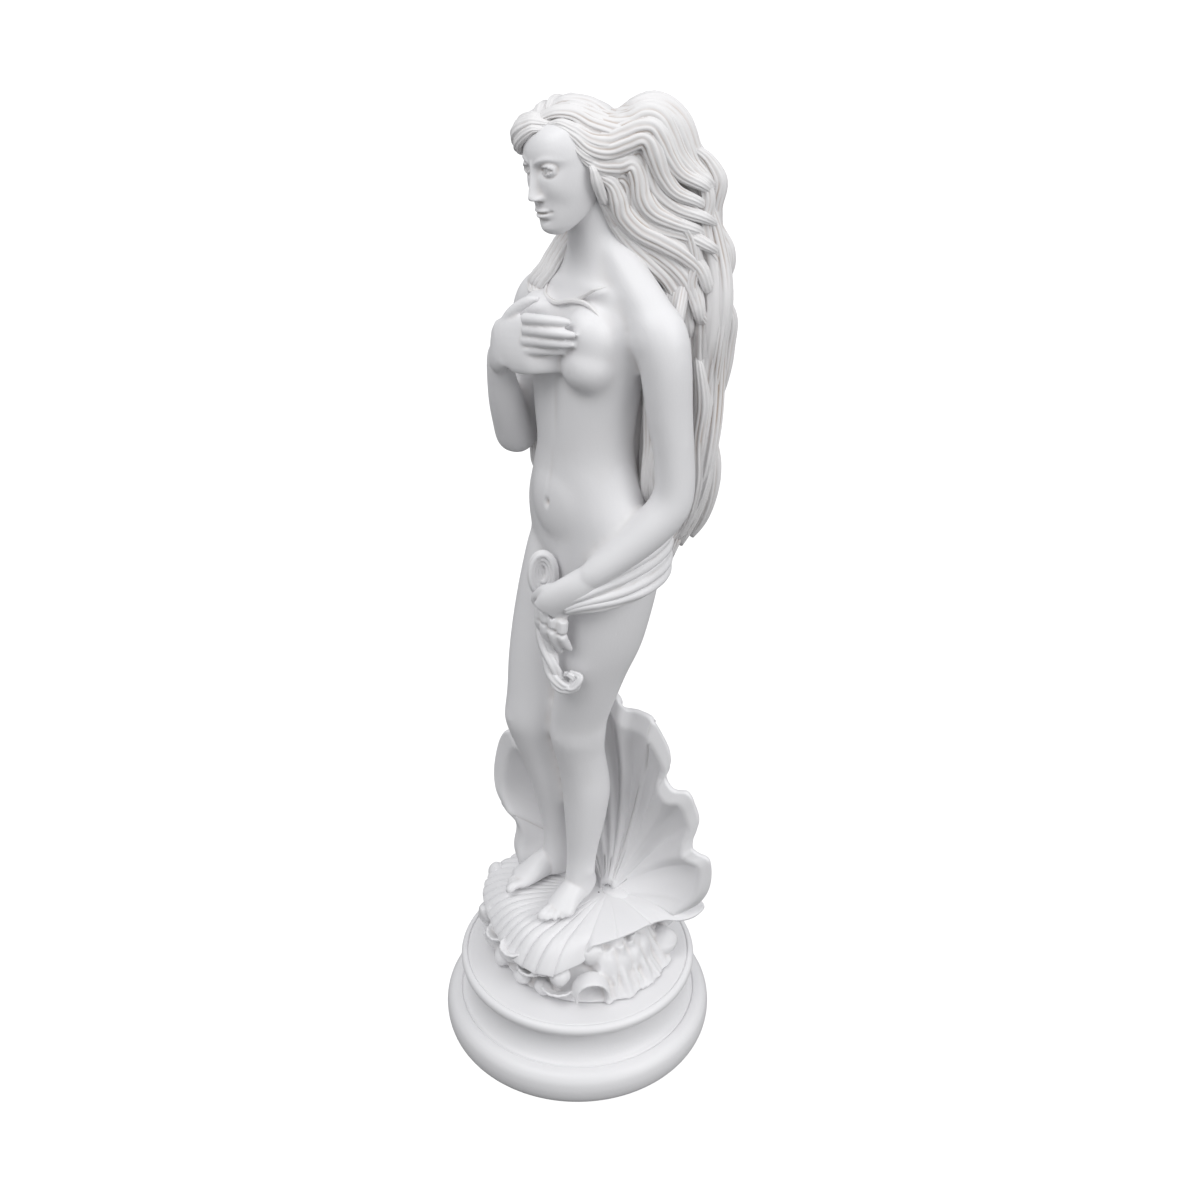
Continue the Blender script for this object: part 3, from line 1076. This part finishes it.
def add_drips(bm):
    """Water running down the rock at her left, in columns of uneven thickness."""
    for i in range(DRIPS):
        azimuth = DRIPS_FROM + 3.6 * i
        thick = 0.95 + 0.45 * math.sin(5.1 * i)
        spread = 29.2 + 0.03 * (azimuth - DRIPS_FROM) - 0.9 * abs(math.sin(2.3 * i))
        foot = round_plinth(azimuth, spread, 0.2)
        middle = round_plinth(azimuth - 0.8, 25.6 + 0.8 * math.sin(3.7 * i), 7.0)
        height = 16.0 - 1.5 * abs(math.sin(1.9 * i))
        top = round_plinth(azimuth - 1.5, 21.4 + 1.0 * math.sin(4.1 * i), height)
        rows = [
            (*foot, thick * 1.2, thick),
            (*middle, thick * 0.85, thick * 0.8),
            (*top, thick * 1.3, thick),
        ]
        add_limb(bm, rows, side=(-foot[1], foot[0], 0), sides=14, steps=6)


def rockwork_bmesh():
    """Broken rock, small scallops, a tube's mouth and dripping columns under the shell."""
    noise.seed_set(ROCK_SEED)
    bm = bmesh.new()
    core = [
        # height, x, y, half width, front, back, yaw, roll
        (0.0, 0.6, 0.0, 28.0, 25.0, 25.0, 0, 0),
        (1.2, 0.6, 0.0, 27.4, 24.0, 24.5, 0, 0),
        (4.0, 0.0, 0.0, 25.6, 22.5, 23.0, 0, 0),
        (8.0, -1.5, 0.4, 23.2, 21.0, 22.0, 0, 0),
        (12.0, -3.2, 0.6, 22.0, 20.5, 22.0, 0, 0),
        (16.0, -4.6, 0.6, 22.2, 20.5, 22.5, 0, 0),
        (19.2, -5.0, 0.6, 20.6, 19.0, 20.5, 0, 0),
    ]
    add_loft(bm, core, sides=120, steps=6)
    for vert in bm.verts:
        if vert.co.z > 0.0004:
            vert.co = broken(vert.co, 0.0011)
    lumps = [
        # azimuth, radius, height, radii, roughness
        (-76, 31.5, 15.0, (3.8, 3.4, 4.2), 0.0012),
        (-69, 31.5, 9.5, (4.2, 3.8, 4.4), 0.0014),
        (-58, 29.5, 6.5, (4.8, 4.4, 4.8), 0.0014),
        (-48, 29.5, 10.0, (3.0, 3.0, 3.4), 0.0012),
        (72, 20.6, 7.0, (5.6, 4.6, 8.0), 0.0004),
        (84, 20.6, 7.0, (5.6, 4.6, 8.0), 0.0004),
        (97, 20.6, 7.0, (5.6, 4.6, 8.0), 0.0004),
        (110, 20.6, 7.0, (5.6, 4.6, 8.0), 0.0004),
        (-46, 27.0, 12.0, (3.4, 3.4, 3.8), 0.0010),
        (-34, 26.0, 7.0, (4.4, 4.0, 4.6), 0.0012),
        (-22, 25.6, 3.4, (3.2, 3.0, 3.0), 0.0010),
        (-12, 24.5, 8.5, (3.6, 3.2, 3.4), 0.0010),
        (2, 25.2, 3.0, (3.0, 2.6, 2.6), 0.0010),
        (22, 25.0, 3.0, (3.6, 2.8, 2.4), 0.0010),
        (34, 24.0, 9.0, (3.8, 3.4, 3.4), 0.0010),
        (62, 19.5, 13.5, (3.4, 4.0, 4.4), 0.0006),
        (84, 18.0, 15.5, (4.0, 4.0, 3.6), 0.0006),
        (128, 27.5, 5.0, (4.6, 4.4, 5.4), 0.0014),
        (143, 27.0, 11.0, (4.2, 4.2, 4.6), 0.0014),
        (158, 27.0, 4.0, (4.8, 4.2, 4.6), 0.0014),
        (175, 26.0, 9.0, (4.6, 4.2, 5.2), 0.0014),
        (192, 27.0, 4.0, (4.8, 4.4, 4.6), 0.0014),
        (208, 26.0, 10.0, (4.4, 4.2, 4.6), 0.0014),
        (224, 27.0, 4.6, (4.8, 4.4, 5.0), 0.0014),
        (240, 27.0, 10.0, (4.2, 4.2, 4.8), 0.0014),
        (255, 28.0, 4.0, (4.8, 4.4, 4.4), 0.0014),
        (272, 28.0, 9.0, (4.4, 4.4, 5.0), 0.0012),
    ]
    for azimuth, radius, height, radii, rough in lumps:
        add_rock(bm, round_plinth(azimuth, radius, height), radii, rough)
    for azimuth, radius, height, size, tilt in (
        (22, 22.6, 8.6, 5.0, 6),
        (12, 24.0, 7.0, 4.8, 2),
        (34, 25.4, 2.6, 5.2, -8),
        (-4, 24.6, 12.0, 4.8, 14),
        (-28, 25.2, 9.6, 4.6, 10),
        (-40, 26.0, 4.2, 4.4, 0),
        (-62, 27.0, 12.0, 5.0, 12),
    ):
        add_fan(bm, azimuth, radius, height, size, tilt)
    add_arch(bm, 57, 27.0, 4.8, 5.1)
    add_drips(bm)
    bmesh.ops.translate(bm, verts=bm.verts, vec=(0, 0, PLINTH_HEIGHT + SEAT_GAP))
    return bm


# Radius and height in units, from the middle of the top down to the underside
PLINTH_SIDE = [
    (0, 28.3), (34.9, 28.3), (35.5, 28.2), (35.8, 28), (36.1, 28.4), (36.8, 28.3), (37.5, 27.8),
    (37.9, 27), (37.9, 26.1), (37.5, 25.1), (36.6, 24.3), (35.4, 23.7), (34.8, 23.2), (34.5, 21.5),
    (34.6, 19), (35, 16.8), (35.8, 14.8), (36.8, 13.4), (37.7, 12.85), (38.05, 12.3), (38.4, 12.65),
    (39.2, 12.55), (40.6, 12.1), (41.8, 11.2), (42.8, 9.6), (43.25, 7.4), (43.25, 5.4), (42.9, 3.4),
    (42.2, 1.8), (41.3, 0.7), (40.2, 0.1), (39.4, 0), (0, 0),
]


def plinth_bmesh():
    bm = bmesh.new()
    side = [PLINTH_SIDE[0], *map(tuple, smooth_rows(PLINTH_SIDE[1:-1], 4)), PLINTH_SIDE[-1]]
    verts = [bm.verts.new((radius * UNIT, 0, max(height, 0) * UNIT)) for radius, height in side]
    for a, b in zip(verts, verts[1:]):
        bm.edges.new((a, b))
    bmesh.ops.spin(
        bm,
        geom=bm.verts[:] + bm.edges[:],
        cent=(0, 0, 0),
        axis=(0, 0, 1),
        angle=2 * math.pi,
        steps=PLINTH_STEPS,
        use_merge=True,
    )
    bmesh.ops.remove_doubles(bm, verts=bm.verts, dist=1e-6)
    bmesh.ops.recalc_face_normals(bm, faces=bm.faces)
    return bm


def put_in_scene(name, data):
    thing = bpy.data.objects.new(name, data)
    bpy.context.scene.collection.objects.link(thing)
    return thing


def mesh_of(bm, name):
    mesh = bpy.data.meshes.new(name)
    bm.to_mesh(mesh)
    bm.free()
    return mesh


def worked(mesh, *steps):
    """The mesh with modifiers applied: each step is a type and its settings."""
    thing = put_in_scene("worked", mesh)
    for kind, settings in steps:
        modifier = thing.modifiers.new(kind, kind)
        for key, value in settings.items():
            setattr(modifier, key, value)
    graph = bpy.context.evaluated_depsgraph_get()
    result = bpy.data.meshes.new_from_object(thing.evaluated_get(graph))
    bpy.data.objects.remove(thing)
    return result


def skinned(mesh, voxel, softening):
    """One voxel skin round all the overlapping parts of a mesh, softened."""
    return worked(
        mesh,
        ("REMESH", {"mode": "VOXEL", "voxel_size": voxel}),
        ("SMOOTH", {"factor": 0.5, "iterations": softening}),
    )


def thinned(mesh, triangles):
    """Down to about that many triangles."""
    have = sum(len(polygon.vertices) - 2 for polygon in mesh.polygons)
    if have <= triangles:
        return mesh
    return worked(mesh, ("DECIMATE", {"ratio": triangles / have}))


def places_of(mesh):
    spots = np.empty(len(mesh.vertices) * 3)
    mesh.vertices.foreach_get("co", spots)
    normals = np.empty(len(mesh.vertices) * 3)
    mesh.vertex_normals.foreach_get("vector", normals)
    return spots.reshape(-1, 3), normals.reshape(-1, 3)


def mark_hollows(mesh, rounds, span):
    """Writes how deep each vertex lies in a hollow to the attribute hollow, from 0 to 1."""
    count = len(mesh.vertices)
    spots, normals = places_of(mesh)
    ends = np.empty(len(mesh.edges) * 2, int)
    mesh.edges.foreach_get("vertices", ends)
    first, second = ends.reshape(-1, 2).T
    links = np.bincount(first, minlength=count) + np.bincount(second, minlength=count)
    blurred = spots.copy()
    for _ in range(rounds):
        total = blurred.copy()
        for k in range(3):
            total[:, k] += np.bincount(first, blurred[second, k], count)
            total[:, k] += np.bincount(second, blurred[first, k], count)
        blurred = total / (links + 1)[:, None]
    depth = ((blurred - spots) * normals).sum(1)
    hollow = mesh.attributes.new("hollow", "FLOAT", "POINT")
    hollow.data.foreach_set("value", np.clip(depth / span, 0, 1).astype(np.float32))


def press(mesh, presses):
    """Pushes the skin in or out at a few spots: centre, reach and depth in units."""
    spots, normals = places_of(mesh)
    move = np.zeros(len(spots))
    for centre, reach, depth in presses:
        middle = np.array(centre) * UNIT + np.array(SOLE_UP)
        away = (((spots - middle) / (np.array(reach) * UNIT)) ** 2).sum(1)
        move += depth * UNIT * np.exp(-away)
    spots = spots + normals * move[:, None]
    mesh.vertices.foreach_set("co", spots.reshape(-1))
    mesh.update()


PRESSES = [
    # navel, middle line, breastbone and nipple: centre, reach, and depth outwards
    ((-0.9, -11.0, 143.2), (0.8, 3, 1.2), -1.1),
    ((-0.9, -11.0, 152), (0.9, 3, 7), -0.25),
    ((0.4, -8.2, 172), (1.2, 3, 9), -0.3),
    ((11.4, -13.2, 183.6), (0.8, 0.9, 0.8), 0.55),
]


def body_mesh():
    """Torso and limbs flow together first, then hands and feet are joined on."""
    limbs = bmesh.new()
    add_torso(limbs)
    add_legs(limbs)
    add_arms(limbs)
    soft = skinned(mesh_of(limbs, "limbs"), LIMB_VOXEL, LIMB_SOFTENING)
    whole = bmesh.new()
    whole.from_mesh(soft)
    add_feet(whole)
    add_right_hand(whole)
    add_left_hand(whole)
    skin = skinned(mesh_of(risen(whole), "whole"), BODY_VOXEL, BODY_SOFTENING)
    press(skin, PRESSES)
    return thinned(skin, BODY_TRIANGLES)


class Socket:
    """A shader socket that takes part in Python arithmetic."""

    def __init__(self, tree, link):
        self.tree = tree
        self.link = link

    def math(self, operation, *others):
        node = self.tree.nodes.new("ShaderNodeMath")
        node.operation = operation
        for slot, value in zip(node.inputs, (self, *others)):
            plug(self.tree, slot, value)
        return Socket(self.tree, node.outputs[0])

    def __add__(self, other):
        return self.math("ADD", other)

    def __mul__(self, other):
        return self.math("MULTIPLY", other)

    def __sub__(self, other):
        return self.math("SUBTRACT", other)

    def __rsub__(self, other):
        return (self * -1) + other

    def held(self):
        return self.math("MINIMUM", 1.0).math("MAXIMUM", 0.0)

    __radd__ = __add__
    __rmul__ = __mul__


def plug(tree, slot, value):
    if isinstance(value, Socket):
        tree.links.new(value.link, slot)
    else:
        slot.default_value = value


def shader_node(tree, kind, settings, inputs, output=0):
    """One node: its settings first, then its inputs by name or number, and one output as a Socket."""
    node = tree.nodes.new(kind)
    for key, value in settings.items():
        setattr(node, key, value)
    for name, value in inputs.items():
        plug(tree, node.inputs[name], value)
    return Socket(tree, node.outputs[output])


def mixed(tree, share, first, second):
    """Two colours mixed by share, each of them a Socket or four numbers."""
    return shader_node(tree, "ShaderNodeMix", {"data_type": "RGBA"}, {0: share, 6: first, 7: second}, 2)


# The resin's tone, the wash in its hollows, and the bottom of a pinhole
PALE = (0.80, 0.795, 0.805)
WASH = (0.52, 0.46, 0.41)
HOLE_TONE = (0.05, 0.04, 0.035, 1)
PINHOLES = [
    # points on the cast in units from the soles, and the size of the hole
    ((11.6, -13.6, 183.4), 0.45),
    ((-1.3, -11.2, 142.8), 0.5),
    ((-17.7, -1.1, 159.1), 0.4),
    ((17.1, -0.3, 88.1), 0.35),
    ((7.2, 5.8, 0.8), 0.6),
    ((4.4, 5.2, 0.2), 0.35),
    ((9.2, -12.6, 189.0), 0.5),
]


def resin(name, color, dirt, amount, roughness, pinholes):
    """White cast resin, satin, with a warm wash left in its hollows and a few dark pinholes."""
    material = bpy.data.materials.new(name)
    material.use_nodes = True
    tree = material.node_tree
    shader = tree.nodes["Principled BSDF"]
    place = shader_node(tree, "ShaderNodeTexCoord", {}, {}, 3)
    clouds = {"Vector": place, "Scale": 160.0, "Detail": 3.0}
    cloud = shader_node(tree, "ShaderNodeTexNoise", {}, clouds)
    grains = {"Vector": place, "Scale": 1400.0, "Detail": 2.0}
    grain = shader_node(tree, "ShaderNodeTexNoise", {}, grains)
    hollow = shader_node(tree, "ShaderNodeAttribute", {"attribute_name": "hollow"}, {}, 2)
    mask = (hollow * (0.5 + cloud) * amount).held()
    tint = mixed(tree, mask, (*color, 1), (*dirt, 1))
    for spot, size in pinholes:
        middle = tuple(Vector(spot) * UNIT + SOLE_UP)
        ends = {0: place, 1: middle}
        away = shader_node(tree, "ShaderNodeVectorMath", {"operation": "DISTANCE"}, ends, 1)
        dark = ((size * UNIT - away) * (3.0 / (size * UNIT))).held()
        tint = mixed(tree, dark, tint, HOLE_TONE)
    plug(tree, shader.inputs["Base Color"], tint)
    plug(tree, shader.inputs["Roughness"], roughness + cloud * 0.08)
    relief = {"Strength": 0.12, "Distance": 0.0002, "Height": grain}
    bump = shader_node(tree, "ShaderNodeBump", {}, relief)
    plug(tree, shader.inputs["Normal"], bump)
    return material


def add_piece(name, mesh, material, node):
    """A finished piece that stands for a CAD node."""
    mesh.name = name
    mesh.materials.clear()
    mesh.materials.append(material)
    for polygon in mesh.polygons:
        polygon.use_smooth = True
    thing = put_in_scene(name, mesh)
    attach(thing, "root")
    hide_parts(node)


def build_statuette():
    """The ten pieces; of each casting's hollows, the rounds of blur and the depth that is full wash."""
    white = resin("white_resin", PALE, WASH, 0.8, 0.42, PINHOLES)
    hair_white = resin("white_resin_hair", (0.79, 0.78, 0.78), (0.44, 0.35, 0.29), 1.2, 0.45, [])
    shell_white = resin("white_resin_shell", PALE, (0.60, 0.57, 0.55), 0.35, 0.42, PINHOLES)
    base_white = resin("white_plinth_resin", PALE, WASH, 0.5, 0.40, [])

    def cast(name, mesh, material, rounds, span):
        mark_hollows(mesh, rounds, span)
        add_piece(name, mesh, material, "aphrodite")

    cast("figure", body_mesh(), white, 8, 0.0006)
    cast("head", mesh_of(head_bmesh(), "head"), white, 6, 0.0004)
    cast("blown_locks", mesh_of(blown_hair_bmesh(), "locks"), hair_white, 5, 0.00030)
    cast("hair_mass", mesh_of(hair_mass_bmesh(), "mass"), hair_white, 5, 0.00026)
    cast("falling_hair", mesh_of(back_hair_bmesh(), "fall"), hair_white, 5, 0.00030)
    cast("hip_cloth", mesh_of(drapery_bmesh(), "cloth"), white, 4, 0.0004)
    cast("lower_valve", mesh_of(lower_valve_bmesh(), "lower"), shell_white, 5, 0.0004)
    cast("upper_valve", mesh_of(upper_valve_bmesh(), "upper"), shell_white, 5, 0.0005)
    rock = skinned(mesh_of(rockwork_bmesh(), "rock"), ROCK_VOXEL, ROCK_SOFTENING)
    cast("rockwork", thinned(rock, ROCK_TRIANGLES), white, 10, 0.0009)

    plinth = mesh_of(plinth_bmesh(), "plinth")
    add_piece("turned_plinth", plinth, base_white, "plinth")


# The camera: degrees from her front to her left, metres from the axis and over the ground,
# degrees looking down, and focal length, side and the axis's column in the picture's pixels
CAMERA_AZIMUTH = 48
CAMERA_DISTANCE = 0.390
CAMERA_HEIGHT = 0.3867
CAMERA_DIP = 30.27
CAMERA_FOCUS = 1578.5
PICTURE_SIDE = 1200
AXIS_COLUMN = 577.5
SENSOR = 36

# Soft boxes: azimuth from the camera's, elevation, distance, size and power
SOFT_BOXES = {"key": (-40, 56, 1.0, 0.6, 3.3), "fill": (55, 28, 1.2, 0.8, 5.4)}
LIGHT_AIM = Vector((0, 0, 0.17))
STUDIO_TONE = (0.97, 0.98, 1.0, 1)
STUDIO_STRENGTH = 0.68
FLOOR_HALF_SIDE = 4.0
FLOOR_TONE = (0.14, 0.14, 0.14, 1)
BLACK = (0, 0, 0, 1)
WHITE = (1, 1, 1, 1)


def add_soft_box(name, azimuth, elevation, distance, size, power):
    """A round area light towards the statuette's middle."""
    data = bpy.data.lights.new(name, "AREA")
    data.shape = "DISK"
    data.size = size
    data.energy = power
    lamp = put_in_scene(name, data)
    turn, rise = math.radians(azimuth), math.radians(elevation)
    flat = math.cos(rise)
    toward = Vector((math.sin(turn) * flat, -math.cos(turn) * flat, math.sin(rise)))
    lamp.location = LIGHT_AIM + toward * distance
    lamp.rotation_euler = toward.to_track_quat("Z", "Y").to_euler()


def stage_and_light():
    """A pale floor, soft studio light and the camera at the photograph's angle."""
    bm = bmesh.new()
    bmesh.ops.create_grid(bm, x_segments=1, y_segments=1, size=FLOOR_HALF_SIDE)
    floor = put_in_scene("floor", mesh_of(bm, "floor"))
    pale = bpy.data.materials.new("pale_floor")
    pale.use_nodes = True
    shader = pale.node_tree.nodes["Principled BSDF"]
    shader.inputs["Base Color"].default_value = FLOOR_TONE
    shader.inputs["Roughness"].default_value = 0.9
    seen = shader_node(pale.node_tree, "ShaderNodeLightPath", {}, {})
    plug(pale.node_tree, shader.inputs["Emission Color"], mixed(pale.node_tree, seen, BLACK, WHITE))
    shader.inputs["Emission Strength"].default_value = 1.0
    floor.data.materials.append(pale)

    world = bpy.data.worlds.new("studio")
    bpy.context.scene.world = world
    world.use_nodes = True
    back = world.node_tree.nodes["Background"]
    back.inputs["Color"].default_value = STUDIO_TONE
    back.inputs["Strength"].default_value = STUDIO_STRENGTH

    for name, (apart, *rest) in SOFT_BOXES.items():
        add_soft_box(name, CAMERA_AZIMUTH + apart, *rest)

    data = bpy.data.cameras.new("camera")
    data.sensor_width = SENSOR
    data.lens = SENSOR * CAMERA_FOCUS / PICTURE_SIDE
    data.shift_x = (PICTURE_SIDE / 2 - AXIS_COLUMN) / PICTURE_SIDE
    data.clip_start = 0.01
    camera = put_in_scene("camera", data)
    turn, dip = math.radians(CAMERA_AZIMUTH), math.radians(CAMERA_DIP)
    ahead = Vector((-math.sin(turn) * math.cos(dip), math.cos(turn) * math.cos(dip), -math.sin(dip)))
    right = Vector((math.cos(turn), math.sin(turn), 0))
    placed = Matrix((right, right.cross(ahead), -ahead)).transposed().to_4x4()
    placed.translation = (
        CAMERA_DISTANCE * math.sin(turn),
        -CAMERA_DISTANCE * math.cos(turn),
        CAMERA_HEIGHT,
    )
    camera.matrix_world = placed
    bpy.context.scene.camera = camera
    bpy.context.scene.view_settings.view_transform = "Standard"


build_statuette()
stage_and_light()
